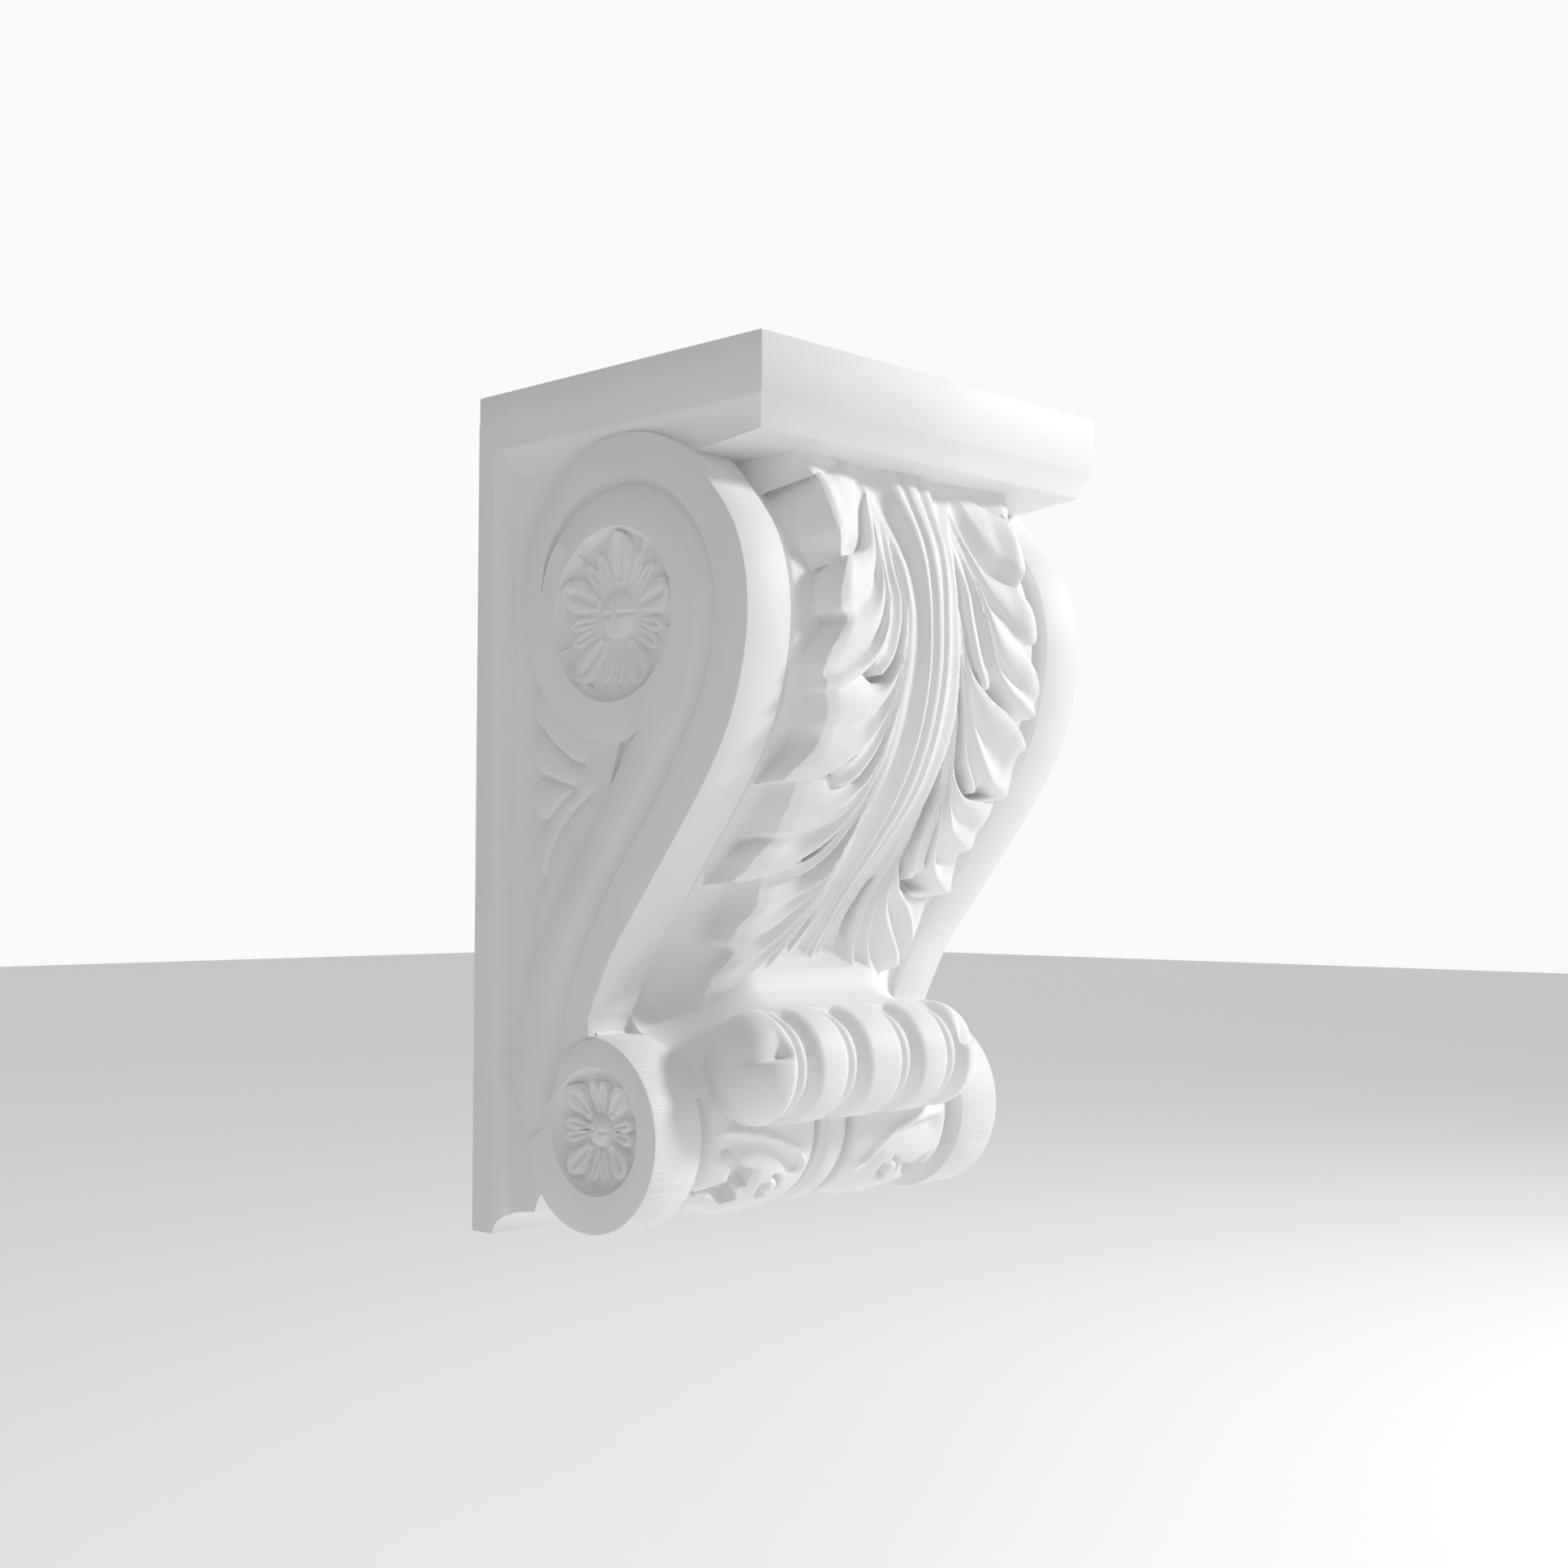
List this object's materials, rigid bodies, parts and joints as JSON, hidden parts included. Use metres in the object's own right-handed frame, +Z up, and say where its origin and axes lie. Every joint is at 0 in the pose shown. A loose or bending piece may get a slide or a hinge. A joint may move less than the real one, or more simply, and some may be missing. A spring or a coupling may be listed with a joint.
{
  "type": "scroll corbel",
  "caption": "White cast scroll corbel: moulded abacus on an S-scroll console with rosettes, an acanthus leaf down the front and a rolled leaf tip.",
  "frame": {"origin": "middle of the flat back, where the corbel is fixed to the wall", "axes": "+Z up along the wall, +Y into the wall, the carved front faces -Y, X along the wall"},
  "size_m": [0.181, 0.1435, 0.3],
  "materials": {
    "primed_casting": "smooth matt white primer"
  },
  "bodies": {
    "root": {"corbel": "primed_casting"}
  },
  "joints": []
}
